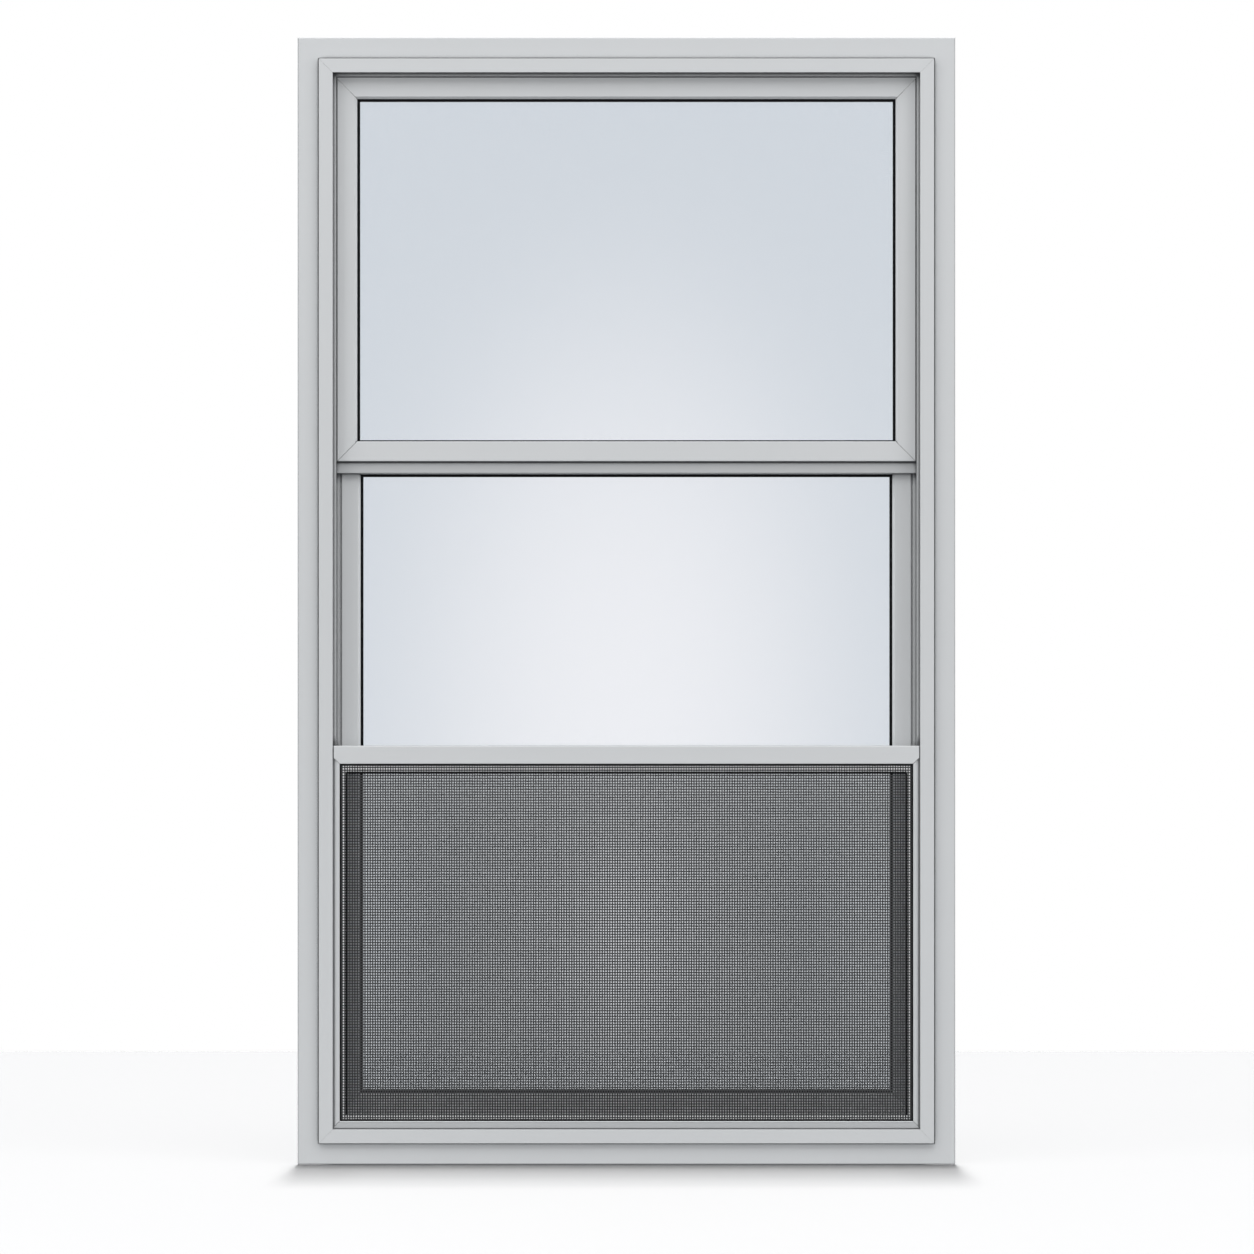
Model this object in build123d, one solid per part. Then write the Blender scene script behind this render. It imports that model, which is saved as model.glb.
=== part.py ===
from build123d import *
import os

# Storm window of three tracks. Millimetres. The outside of the house is toward -Y, the room is toward +Y,
# +X is to the right as seen from outside and +Z is up. The back of the mounting flange lies in the plane y = 0.
# The origin is in the middle of the sill's flange.

# Outside size of the frame, measured over the tips of the flange.
OVERALL_WIDTH = 813.0
OVERALL_HEIGHT = 1393.0

# Main frame extrusion, the same on all four sides.
FLANGE_WIDTH = 26.4
FLANGE_THICKNESS = 1.6
FLANGE_TIP_RADIUS = 1.1
FACE_WIDTH = 17.2
FACE_STANDOFF = 5.4
FACE_RADIUS = 0.5
FOOT_GROOVE_WIDTH = 1.3
FOOT_GROOVE_DEPTH = 1.0
LIP_RADIUS = 0.6
FIN_RADIUS = 0.5
FRAME_WALL = 1.4
TRACK_COVER = 6.6
TRACK_STEP = 3.6
FRAME_SEAM = 0.16

# Fits between the frame and the panels that slide in it.
SLIDE_CLEARANCE = 0.8
EDGE_CLEARANCE = 0.8
FACE_GROOVE = 1.3
LOWER_FACE_GROOVE = 2.6

# Panels: a thin tongue runs in the track and the face stands out in front of it.
TONGUE_THICKNESS = 8.0
FACE_STEP = 1.4
PANEL_WALL = 1.4
FACE_EDGE_RADIUS = 0.8

# Glazed sashes.
UPPER_STILE = 24.7
UPPER_TOP_RAIL = 26.5
UPPER_BOTTOM_RAIL = 24.6
LOWER_STILE = 23.3
LOWER_BOTTOM_RAIL_FACE = 33.2
LOWER_TOP_RAIL = 27.0
LOWER_TOP_REVEAL = 0.9
SASH_SEAM = 0.45
BEAD_DEPTH = 3.2
BEAD_WIDTH = 4.8
BEAD_SLOPE = 2.8
BEAD_NOSE = 0.6
BEAD_RADIUS = 0.6
BACK_BEAD_RADIUS = 0.7
GLAZING_DEPTH = 9.0
GLASS_THICKNESS = 3.0
GASKET_BASE = 2.0
GASKET_SIGHT = 2.9
GASKET_FOOT_SIGHT = 3.8
GASKET_FLUSH = 0.9
GASKET_EDGE_RADIUS = 0.5
LIFT_REACH = 6.0
LIFT_THICKNESS = 1.6
LIFT_DROP = 5.0

# Bar across the middle track that carries the upper sash.
MEETING_HEIGHT = 869.5
BAR_HEIGHT = 14.8
BAR_SETBACK = 4.4
BAR_RADIUS = 1.0
BAR_REBATE_HEIGHT = 1.8
BAR_REBATE_DEPTH = 1.6
BAR_PILE_HEIGHT = 5.0

# Half insect screen in the outer track.
SCREEN_HEIGHT = 480.4
SCREEN_TOP_FACE = 22.2
SCREEN_BOTTOM_FACE = 8.9
SCREEN_STILE_FACE = 6.4
SCREEN_STILE_GROOVE = 2.2
SCREEN_FACE_SLOPE = 2.4
SCREEN_FACE_STEP = 4.8
SCREEN_SEAM = 0.4
SCREEN_WALL = 1.2
SCREEN_LIP_WIDTH = 5.4
SCREEN_LIP_SETBACK = 1.2
SCREEN_LIP_RETURN = 3.2
SCREEN_LIP_RADIUS = 1.6
SPLINE_GROOVE_WIDTH = 2.6
SPLINE_GROOVE_DEPTH = 4.8
SPLINE_DIAMETER = 2.4
SPLINE_SETBACK = 0.6
MESH_THICKNESS = 0.5

# Wool pile strips in the glass tracks.
PILE_WIDTH = 4.0
PILE_INSET = 1.2

# Slots in the floor of the inner track that take the latch bolts at each height of the lower sash.
SLOT_LENGTH = 16.0
SLOT_WIDTH = 5.0
SLOT_SPACING = 190.0
SLOT_COUNT = 3

# Slide latches on the room side of the lower sash.
LATCH_LENGTH = 34.0
LATCH_HEIGHT = 12.0
LATCH_THICKNESS = 1.8
LATCH_EDGE_RADIUS = 0.6
LATCH_FROM_JAMB = 5.0
LATCH_ABOVE_SILL = 8.0
TAB_LENGTH = 9.0
TAB_HEIGHT = 8.0
TAB_REACH = 4.0
TAB_RADIUS = 1.2
TAB_EDGE_RADIUS = 0.7

# Depths, from the outside to the room.
front = -(FLANGE_THICKNESS + FACE_STANDOFF)
track_width = TONGUE_THICKNESS + 2 * SLIDE_CLEARANCE
track_pitch = track_width + FRAME_WALL
outer_track = front + FRAME_WALL
middle_track = outer_track + track_pitch
inner_track = middle_track + track_pitch
frame_back = inner_track + track_pitch
panel_thickness = TONGUE_THICKNESS + FACE_STEP

# Distances in from the flange tip to the edges of the three lips and to the floors of the three tracks.
lip_edge = FLANGE_WIDTH + FACE_WIDTH
outer_floor = lip_edge - TRACK_COVER
outer_fin_edge = lip_edge + TRACK_STEP
middle_floor = outer_fin_edge - TRACK_COVER
inner_fin_edge = outer_fin_edge + TRACK_STEP
inner_floor = inner_fin_edge - TRACK_COVER

# Outline of the frame in the plane of the window.
half_width = OVERALL_WIDTH / 2
frame_bottom = -FLANGE_WIDTH / 2
frame_top = frame_bottom + OVERALL_HEIGHT
frame_outline = (-half_width, frame_bottom, half_width, frame_top)

SIDES = ("bottom", "left", "top", "right")
TURN = {"bottom": 0, "left": 90, "top": 180, "right": -90}


def grown(outline, by):
    """Rectangle x0, z0, x1, z1 made larger by the same amount on every side."""
    x0, z0, x1, z1 = outline
    return (x0 - by, z0 - by, x1 + by, z1 + by)


def strip(in_from, in_to, deep_from, deep_to):
    """One straight wall of an extrusion's cross-section."""
    centre = Pos((in_from + in_to) / 2, (deep_from + deep_to) / 2)
    return centre * Rectangle(abs(in_to - in_from), abs(deep_to - deep_from))


def wedge(*corners):
    """A part of a cross-section with slanted sides, given by its corners."""
    return make_face(Polyline(*corners, close=True))


def rounded(profile, inward, deep, radius):
    """The cross-section with its corner at one place rounded."""
    corner = profile.vertices().sort_by_distance((inward, deep, 0))[0]
    return fillet(corner, radius)


def slab(outline, deep_from, deep_to):
    """A flat plate that fills a rectangle of the window's plane."""
    x0, z0, x1, z1 = outline
    centre = Pos((x0 + x1) / 2, (deep_from + deep_to) / 2, (z0 + z1) / 2)
    return centre * Box(x1 - x0, deep_to - deep_from, z1 - z0)


def bar(profile, side, outline, length):
    """A straight length of a cross-section along one side of a rectangle.

    The cross-section's first axis points in from that side and its second axis points to the room.
    """
    x0, z0, x1, z1 = outline
    across = Plane(origin=(0, 0, 0), x_dir=(0, 0, 1), z_dir=(-1, 0, 0))
    straight = extrude(across * profile, amount=length / 2, both=True)
    middle_x = (x0 + x1) / 2
    middle_z = (z0 + z1) / 2
    place = {
        "bottom": Pos(middle_x, 0, z0),
        "left": Pos(x0, 0, middle_z),
        "top": Pos(middle_x, 0, z1),
        "right": Pos(x1, 0, middle_z),
    }
    return place[side] * Rot(0, TURN[side], 0) * straight


def mitred_ring(profiles, outline, bounds, seam):
    """Four lengths of extrusion around a rectangle, cut at 45 degrees at its corners.

    Each is trimmed to the bounds, so a wide member keeps a square end beyond a narrow neighbour.
    """
    x0, z0, x1, z1 = outline
    left, bottom, right, top = bounds
    longest = 2 * max(right - left, top - bottom)
    deep = 10 * panel_thickness
    corners = {
        ("bottom", "left"): Plane(origin=(x0, 0, z0), z_dir=(1, 0, -1)),
        ("bottom", "right"): Plane(origin=(x1, 0, z0), z_dir=(-1, 0, -1)),
        ("top", "left"): Plane(origin=(x0, 0, z1), z_dir=(1, 0, 1)),
        ("top", "right"): Plane(origin=(x1, 0, z1), z_dir=(-1, 0, 1)),
    }
    members = {}
    for side in SIDES:
        member = bar(profiles[side], side, outline, longest)
        member = member & slab(bounds, -deep, deep)
        for pair, plane in corners.items():
            if side not in pair:
                continue
            rail = side == pair[0]
            shift = seam / 2 if rail else -seam / 2
            keep = Keep.TOP if rail else Keep.BOTTOM
            member = split(member, bisect_by=plane.offset(shift), keep=keep)
        members[side] = member
    return members


def notched(members, bounds, face_half, face_front, step):
    """A panel's members with the raised face cut back at both ends, so only the tongue enters the jambs."""
    left, bottom, right, top = bounds
    tongue_front = face_front + step
    waste = [
        slab((left, bottom, -face_half, top), face_front, tongue_front),
        slab((face_half, bottom, right, top), face_front, tongue_front),
    ]
    return {side: member - waste for side, member in members.items()}


def frame_profile():
    """The main frame: flange, raised face and three stepped tracks, drawn in from the flange tip."""
    outer_fin = middle_track - FRAME_WALL
    inner_fin = inner_track - FRAME_WALL
    back_lip = frame_back - FRAME_WALL
    walls = [
        strip(0, outer_floor, -FLANGE_THICKNESS, 0),
        strip(FLANGE_WIDTH, FLANGE_WIDTH + FRAME_WALL, front, 0),
        strip(FLANGE_WIDTH, lip_edge, front, outer_track),
        strip(outer_floor - FRAME_WALL, outer_floor, front, middle_track),
        strip(outer_floor - FRAME_WALL, outer_fin_edge, outer_fin, middle_track),
        strip(middle_floor - FRAME_WALL, middle_floor, outer_fin, inner_track),
        strip(middle_floor - FRAME_WALL, inner_fin_edge, inner_fin, inner_track),
        strip(inner_floor - FRAME_WALL, inner_floor, inner_fin, frame_back),
        strip(inner_floor - FRAME_WALL, inner_fin_edge, back_lip, frame_back),
    ]
    profile = Sketch() + walls
    groove_floor = -FLANGE_THICKNESS + FOOT_GROOVE_DEPTH
    profile = profile - strip(FLANGE_WIDTH - FOOT_GROOVE_WIDTH, FLANGE_WIDTH, -FLANGE_THICKNESS, groove_floor)
    profile = rounded(profile, 0, -FLANGE_THICKNESS, FLANGE_TIP_RADIUS)
    profile = rounded(profile, FLANGE_WIDTH, front, FACE_RADIUS)
    profile = rounded(profile, lip_edge, front, LIP_RADIUS)
    profile = rounded(profile, outer_fin_edge, outer_fin, FIN_RADIUS)
    profile = rounded(profile, inner_fin_edge, inner_fin, FIN_RADIUS)
    profile = rounded(profile, inner_fin_edge, frame_back, FIN_RADIUS)
    return profile


def sash_profile(face_front, face_width, tongue_width, slope, lift=False):
    """A sash rail or stile, drawn out from the edge of its glass opening, so inward distances are negative.

    The bead in front of the glass slants in over the width of the slope, or is square where that is zero.
    """
    back = face_front + panel_thickness
    bead_back = face_front + BEAD_DEPTH
    tongue_front = face_front + FACE_STEP
    edge = -(face_width + tongue_width)
    walls = [
        strip(-slope, -face_width, face_front, face_front + PANEL_WALL),
        strip(-slope, -BEAD_WIDTH, face_front, bead_back),
        strip(-GLAZING_DEPTH, -GLAZING_DEPTH - PANEL_WALL, face_front, back),
        strip(0, edge, back - PANEL_WALL, back),
        strip(edge, edge + PANEL_WALL, tongue_front, back),
        strip(-face_width, -face_width + PANEL_WALL, face_front, tongue_front + PANEL_WALL),
    ]
    if slope > 0:
        nose = bead_back - BEAD_NOSE
        walls.append(wedge((-slope, face_front), (0, nose), (0, bead_back), (-slope, bead_back)))
    if tongue_width > 0:
        walls.append(strip(-face_width + PANEL_WALL, edge, tongue_front, tongue_front + PANEL_WALL))
    if lift:
        walls.append(strip(-LIFT_DROP, -LIFT_DROP - LIFT_THICKNESS, back - PANEL_WALL, back + LIFT_REACH))
    profile = Sketch() + walls
    profile = rounded(profile, -slope, face_front, BEAD_RADIUS)
    profile = rounded(profile, 0, back, BACK_BEAD_RADIUS)
    profile = rounded(profile, -face_width, face_front, FACE_EDGE_RADIUS)
    if lift:
        profile = rounded(profile, -LIFT_DROP, back + LIFT_REACH, LIFT_THICKNESS / 2.5)
    return profile


def screen_profile(face_front, face_width, tongue_width):
    """A screen rail or stile with its spline groove, drawn out from the edge of the mesh opening.

    Where there is a tongue, the face slants back toward it. The lip that carries the mesh is turned in at its edge.
    """
    back = face_front + panel_thickness
    tongue_front = face_front + SCREEN_FACE_STEP
    slant_back = face_front + SCREEN_FACE_SLOPE
    lip_front = face_front + SCREEN_LIP_SETBACK
    groove_floor = face_front + SPLINE_GROOVE_DEPTH
    groove_edge = SCREEN_LIP_WIDTH + SPLINE_GROOVE_WIDTH
    face_edge = groove_edge + face_width
    edge = face_edge + tongue_width
    walls = [
        strip(0, -SCREEN_LIP_WIDTH, lip_front, lip_front + SCREEN_WALL),
        strip(0, -SCREEN_WALL, lip_front, lip_front + SCREEN_LIP_RETURN),
        strip(-SCREEN_LIP_WIDTH + SCREEN_WALL, -SCREEN_LIP_WIDTH, lip_front, groove_floor),
        strip(-SCREEN_LIP_WIDTH + SCREEN_WALL, -groove_edge, groove_floor, groove_floor + SCREEN_WALL),
        strip(-groove_edge, -groove_edge - SCREEN_WALL, face_front, back),
        strip(-edge, -edge + SCREEN_WALL, tongue_front, back),
        strip(-groove_edge, -edge, back - SCREEN_WALL, back),
    ]
    if tongue_width > 0:
        slant_front = ((-groove_edge, face_front), (-face_edge, slant_back))
        slant_rear = ((-face_edge, slant_back + SCREEN_WALL), (-groove_edge, face_front + SCREEN_WALL))
        walls.append(wedge(*slant_front, *slant_rear))
        walls.append(strip(-face_edge, -face_edge + SCREEN_WALL, slant_back, tongue_front + SCREEN_WALL))
        walls.append(strip(-face_edge, -edge, tongue_front, tongue_front + SCREEN_WALL))
    else:
        walls.append(strip(-groove_edge, -face_edge, face_front, face_front + SCREEN_WALL))
        walls.append(strip(-face_edge, -face_edge + SCREEN_WALL, face_front, back))
    profile = Sketch() + walls
    profile = rounded(profile, -groove_edge, face_front, FACE_EDGE_RADIUS)
    profile = rounded(profile, 0, lip_front, SCREEN_LIP_RADIUS)
    if tongue_width == 0:
        profile = rounded(profile, -face_edge, face_front, FACE_EDGE_RADIUS)
    return profile


def sash_gasket(opening, face_front, sight):
    """U-shaped vinyl ring that wraps the edge of a pane. sight is the outline of the glass left showing."""
    channel_front = face_front + BEAD_DEPTH
    channel_back = face_front + panel_thickness - PANEL_WALL
    glass_front = (channel_front + channel_back - GLASS_THICKNESS) / 2
    glass_back = glass_front + GLASS_THICKNESS
    outer = grown(opening, GLAZING_DEPTH)
    pane = grown(opening, GLAZING_DEPTH - GASKET_BASE)
    ring = slab(outer, channel_front, channel_back) - slab(pane, glass_front, glass_back)
    ring = ring - slab(sight, channel_front, channel_back)
    leg_edges = ring.edges().filter_by(lambda edge: on_outline(edge.center(), sight))
    front_edges = leg_edges.filter_by(lambda edge: abs(edge.center().Y - channel_front) < GASKET_EDGE_RADIUS / 10)
    ring = fillet(front_edges, GASKET_EDGE_RADIUS)
    return ring, slab(pane, glass_front, glass_back)


def on_outline(point, outline):
    """Whether a point lies on one of a rectangle's four sides."""
    x0, z0, x1, z1 = outline
    near = GASKET_EDGE_RADIUS / 10
    on_side = min(abs(point.X - x0), abs(point.X - x1)) < near and z0 - near < point.Z < z1 + near
    on_end = min(abs(point.Z - z0), abs(point.Z - z1)) < near and x0 - near < point.X < x1 + near
    return on_side or on_end


parts = {}

# Main frame: head, sill and two jambs cut from one extrusion and mitred.
frame_members = mitred_ring(dict.fromkeys(SIDES, frame_profile()), frame_outline, frame_outline, FRAME_SEAM)
parts["head"] = frame_members["top"]
parts["sill"] = frame_members["bottom"]
parts["left_jamb"] = frame_members["left"]
parts["right_jamb"] = frame_members["right"]

# Meeting bar between the floors of the middle track, with the upper sash standing on it.
meeting_line = frame_bottom + MEETING_HEIGHT
upper_face = middle_track + SLIDE_CLEARANCE - FACE_STEP
upper_back = upper_face + panel_thickness
bar_front = upper_face + BAR_SETBACK
bar_outline = (-half_width + middle_floor, meeting_line - BAR_HEIGHT, half_width - middle_floor, meeting_line)
bar_shoulder = BAR_HEIGHT - BAR_REBATE_HEIGHT
bar_hollow_top = bar_shoulder - PANEL_WALL
bar_walls = strip(0, BAR_HEIGHT, bar_front, upper_back)
bar_walls = bar_walls - strip(PANEL_WALL, bar_hollow_top, bar_front + PANEL_WALL, upper_back - PANEL_WALL)
bar_walls = bar_walls - strip(bar_shoulder, BAR_HEIGHT, bar_front, bar_front + BAR_REBATE_DEPTH)
bar_walls = rounded(bar_walls, bar_shoulder, bar_front, BAR_RADIUS)
bar_walls = rounded(bar_walls, 0, bar_front, BAR_RADIUS)
parts["meeting_bar"] = bar(bar_walls, "bottom", bar_outline, bar_outline[2] - bar_outline[0])

# Upper sash in the middle track.
upper_face_half = half_width - outer_fin_edge - FACE_GROOVE
upper_edge_half = half_width - middle_floor - EDGE_CLEARANCE
upper_tongue = upper_edge_half - upper_face_half
upper_opening = (
    -upper_face_half + UPPER_STILE,
    meeting_line + UPPER_BOTTOM_RAIL,
    upper_face_half - UPPER_STILE,
    frame_top - outer_fin_edge - FACE_GROOVE - UPPER_TOP_RAIL,
)
upper_bounds = (-upper_edge_half, meeting_line, upper_edge_half, frame_top - middle_floor - EDGE_CLEARANCE)
upper_stile = sash_profile(upper_face, UPPER_STILE, upper_tongue, BEAD_SLOPE)
upper_members = mitred_ring(
    {
        "bottom": sash_profile(upper_face, UPPER_BOTTOM_RAIL, 0, 0),
        "left": upper_stile,
        "top": sash_profile(upper_face, UPPER_TOP_RAIL, upper_tongue, BEAD_SLOPE),
        "right": upper_stile,
    },
    upper_opening,
    upper_bounds,
    SASH_SEAM,
)
upper_members = notched(upper_members, upper_bounds, upper_face_half, upper_face, FACE_STEP)
upper_sight = (
    upper_opening[0] + GASKET_SIGHT,
    upper_opening[1] + GASKET_FLUSH,
    upper_opening[2] - GASKET_SIGHT,
    upper_opening[3] - GASKET_SIGHT,
)
upper_gasket, upper_glass = sash_gasket(upper_opening, upper_face, upper_sight)
parts["upper_sash_top_rail"] = upper_members["top"]
parts["upper_sash_bottom_rail"] = upper_members["bottom"]
parts["upper_sash_left_stile"] = upper_members["left"]
parts["upper_sash_right_stile"] = upper_members["right"]
parts["upper_sash_gasket"] = upper_gasket
parts["upper_sash_glass"] = upper_glass

# Lower sash in the inner track, standing on the floor of the sill.
lower_face = inner_track + SLIDE_CLEARANCE - FACE_STEP
lower_back = lower_face + panel_thickness
lower_face_half = half_width - inner_fin_edge - LOWER_FACE_GROOVE
lower_edge_half = half_width - inner_floor - EDGE_CLEARANCE
lower_tongue = lower_edge_half - lower_face_half
lower_foot = frame_bottom + inner_floor
lower_face_foot = frame_bottom + inner_fin_edge + LOWER_FACE_GROOVE
lower_opening = (
    -lower_face_half + LOWER_STILE,
    lower_face_foot + LOWER_BOTTOM_RAIL_FACE,
    lower_face_half - LOWER_STILE,
    meeting_line - BAR_HEIGHT - LOWER_TOP_REVEAL,
)
lower_bounds = (-lower_edge_half, lower_foot, lower_edge_half, lower_opening[3] + LOWER_TOP_RAIL)
lower_stile = sash_profile(lower_face, LOWER_STILE, lower_tongue, BEAD_SLOPE)
lower_members = mitred_ring(
    {
        "bottom": sash_profile(lower_face, LOWER_BOTTOM_RAIL_FACE, lower_face_foot - lower_foot, 0, lift=True),
        "left": lower_stile,
        "top": sash_profile(lower_face, LOWER_TOP_RAIL, 0, BEAD_SLOPE),
        "right": lower_stile,
    },
    lower_opening,
    lower_bounds,
    SASH_SEAM,
)
lower_members = notched(lower_members, lower_bounds, lower_face_half, lower_face, FACE_STEP)
lower_sight = (
    lower_opening[0] + GASKET_SIGHT,
    lower_opening[1] + GASKET_FOOT_SIGHT,
    lower_opening[2] - GASKET_SIGHT,
    lower_opening[3] - GASKET_SIGHT,
)
lower_gasket, lower_glass = sash_gasket(lower_opening, lower_face, lower_sight)
parts["lower_sash_top_rail"] = lower_members["top"]
parts["lower_sash_bottom_rail"] = lower_members["bottom"]
parts["lower_sash_left_stile"] = lower_members["left"]
parts["lower_sash_right_stile"] = lower_members["right"]
parts["lower_sash_gasket"] = lower_gasket
parts["lower_sash_glass"] = lower_glass

# Half screen in the outer track, standing on the floor of the sill.
screen_face = outer_track + SLIDE_CLEARANCE - FACE_STEP
screen_edge_half = half_width - outer_floor - EDGE_CLEARANCE
screen_rail_half = half_width - lip_edge - FACE_GROOVE
screen_face_half = half_width - lip_edge - SCREEN_STILE_GROOVE
screen_foot = frame_bottom + outer_floor
screen_face_foot = frame_bottom + lip_edge + FACE_GROOVE
screen_bounds = (-screen_edge_half, screen_foot, screen_edge_half, screen_foot + SCREEN_HEIGHT)
spline_margin = SCREEN_LIP_WIDTH + SPLINE_GROOVE_WIDTH
screen_opening = (
    -screen_face_half + SCREEN_STILE_FACE + spline_margin,
    screen_face_foot + SCREEN_BOTTOM_FACE + spline_margin,
    screen_face_half - SCREEN_STILE_FACE - spline_margin,
    screen_bounds[3] - SCREEN_TOP_FACE - spline_margin,
)
screen_stile = screen_profile(screen_face, SCREEN_STILE_FACE, screen_edge_half - screen_face_half)
screen_members = mitred_ring(
    {
        "bottom": screen_profile(screen_face, SCREEN_BOTTOM_FACE, screen_face_foot - screen_foot),
        "left": screen_stile,
        "top": screen_profile(screen_face, SCREEN_TOP_FACE, 0),
        "right": screen_stile,
    },
    screen_opening,
    screen_bounds,
    SCREEN_SEAM,
)
screen_members = notched(screen_members, screen_bounds, screen_rail_half, screen_face, SCREEN_FACE_STEP)
parts["screen_top_rail"] = screen_members["top"]
parts["screen_bottom_rail"] = screen_members["bottom"]
parts["screen_left_stile"] = screen_members["left"]
parts["screen_right_stile"] = screen_members["right"]

# Mesh laid over the screen's inner lip, and the round spline that holds its edge in the groove.
mesh_back = screen_face + SCREEN_LIP_SETBACK
mesh_outline = grown(screen_opening, SCREEN_LIP_WIDTH)
parts["screen_mesh"] = slab(mesh_outline, mesh_back - MESH_THICKNESS, mesh_back)
spline_outline = grown(screen_opening, SCREEN_LIP_WIDTH + SPLINE_GROOVE_WIDTH / 2)
spline_section = Pos(0, screen_face + SPLINE_SETBACK + SPLINE_DIAMETER / 2) * Circle(SPLINE_DIAMETER / 2)
spline_bounds = grown(spline_outline, SPLINE_GROOVE_WIDTH)
spline_sides = mitred_ring(dict.fromkeys(SIDES, spline_section), spline_outline, spline_bounds, 0)
parts["screen_spline"] = Part() + list(spline_sides.values())


def pile_pair(floor, track_front, bottom, top):
    """Two strips of wool pile on the fins of both jambs, filling the space in front of a sash's tongue."""
    inner = half_width - floor - PILE_INSET
    strips = []
    for outer_x, inner_x in ((-inner, -inner + PILE_WIDTH), (inner - PILE_WIDTH, inner)):
        strips.append(slab((outer_x, bottom, inner_x, top), track_front, track_front + SLIDE_CLEARANCE))
    return Part() + strips


# A strip on the back of the meeting bar closes the gap to the lower sash's top rail.
bar_pile_foot = meeting_line - (BAR_HEIGHT + BAR_PILE_HEIGHT) / 2
bar_pile_outline = (-lower_face_half, bar_pile_foot, lower_face_half, bar_pile_foot + BAR_PILE_HEIGHT)
parts["meeting_bar_pile"] = slab(bar_pile_outline, upper_back, lower_face)

# The strips run the height of the jambs, the upper one only above the meeting bar.
parts["upper_track_pile"] = pile_pair(middle_floor, middle_track, meeting_line, frame_top - middle_floor)
parts["lower_track_pile"] = pile_pair(
    inner_floor, inner_track, frame_bottom + inner_floor, frame_top - inner_floor
)


def latch(outer_x, direction):
    """A slide latch: a plate with round ends on the sash's back, and a thumb tab that stands out of it."""
    centre_x = outer_x + direction * LATCH_LENGTH / 2
    centre_z = lower_face_foot + LATCH_ABOVE_SILL + LATCH_HEIGHT / 2
    back_plane = Plane(origin=(centre_x, lower_back, centre_z), x_dir=(1, 0, 0), z_dir=(0, 1, 0))
    plate = extrude(back_plane * SlotOverall(LATCH_LENGTH, LATCH_HEIGHT), amount=LATCH_THICKNESS)
    plate = fillet(plate.faces().sort_by(Axis.Y)[-1].edges(), LATCH_EDGE_RADIUS)
    tab_outline = RectangleRounded(TAB_LENGTH, TAB_HEIGHT, TAB_RADIUS)
    tab = extrude(back_plane.offset(LATCH_THICKNESS) * tab_outline, amount=TAB_REACH)
    tab = fillet(tab.faces().sort_by(Axis.Y)[-1].edges(), TAB_EDGE_RADIUS)
    return plate + tab


latch_edge = lower_face_half - LATCH_FROM_JAMB
parts["left_latch"] = latch(-latch_edge, 1)
parts["right_latch"] = latch(latch_edge, -1)

# Slots for the latch bolts, cut through the floor of the inner track in both jambs.
latch_height = lower_face_foot + LATCH_ABOVE_SILL + LATCH_HEIGHT / 2
slot_deep = inner_track + track_width / 2
for jamb, floor_x in (("left_jamb", -half_width + inner_floor), ("right_jamb", half_width - inner_floor)):
    for step in range(SLOT_COUNT):
        slot_place = Pos(floor_x, slot_deep, latch_height + step * SLOT_SPACING)
        parts[jamb] = parts[jamb] - slot_place * Box(4 * FRAME_WALL, SLOT_WIDTH, SLOT_LENGTH)

os.makedirs("parts", exist_ok=True)
for name, shape in parts.items():
    export_step(shape, f"parts/{name}.step")
print("nodes", len(parts))
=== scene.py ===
# %% [markdown]
# # Storm window
# A storm window is a second window that is screwed over the outside of a house window. This one is a grey
# aluminium frame with three tracks, two glass sashes and a half insect screen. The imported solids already
# have their true sizes, so this lesson gives them finishes, weaves the screen cloth, adds the small
# fasteners, and lights the window as in a product picture.

# %% Load the frame
import bpy
import math
import numpy as np
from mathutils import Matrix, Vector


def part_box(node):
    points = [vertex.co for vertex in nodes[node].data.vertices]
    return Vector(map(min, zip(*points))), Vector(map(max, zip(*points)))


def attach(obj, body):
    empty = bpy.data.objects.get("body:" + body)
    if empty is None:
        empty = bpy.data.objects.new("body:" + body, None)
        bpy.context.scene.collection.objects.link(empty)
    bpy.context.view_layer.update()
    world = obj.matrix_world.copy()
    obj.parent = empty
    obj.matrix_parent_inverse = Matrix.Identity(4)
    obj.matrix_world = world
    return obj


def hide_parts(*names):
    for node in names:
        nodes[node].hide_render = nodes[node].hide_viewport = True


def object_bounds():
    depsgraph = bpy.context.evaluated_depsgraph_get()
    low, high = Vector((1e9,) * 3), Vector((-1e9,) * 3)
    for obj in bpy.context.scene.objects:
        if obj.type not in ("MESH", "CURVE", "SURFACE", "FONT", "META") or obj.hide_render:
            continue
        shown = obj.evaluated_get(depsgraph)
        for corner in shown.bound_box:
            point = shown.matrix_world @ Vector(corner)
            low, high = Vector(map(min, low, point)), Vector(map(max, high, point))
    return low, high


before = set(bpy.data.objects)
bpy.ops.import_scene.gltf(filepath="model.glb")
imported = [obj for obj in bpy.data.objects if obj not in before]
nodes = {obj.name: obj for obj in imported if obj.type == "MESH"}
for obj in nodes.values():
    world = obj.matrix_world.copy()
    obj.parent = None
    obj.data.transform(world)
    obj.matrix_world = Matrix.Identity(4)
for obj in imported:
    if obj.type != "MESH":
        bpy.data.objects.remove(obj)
cad_low, cad_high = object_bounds()
MM = 0.001
print("solids", len(nodes), "box", [round(v, 4) for v in (*cad_low, *cad_high)])

# %% [markdown]
# ## Sums in the shader
# A finish is a small sum: a noise times a strength, added to a colour or a roughness. Dozens of nodes can
# be linked by hand, but the sum is then hard to read. A small class that stands for one socket lets the
# sum be written as Python, and each operator adds the Math node that it means.

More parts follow.
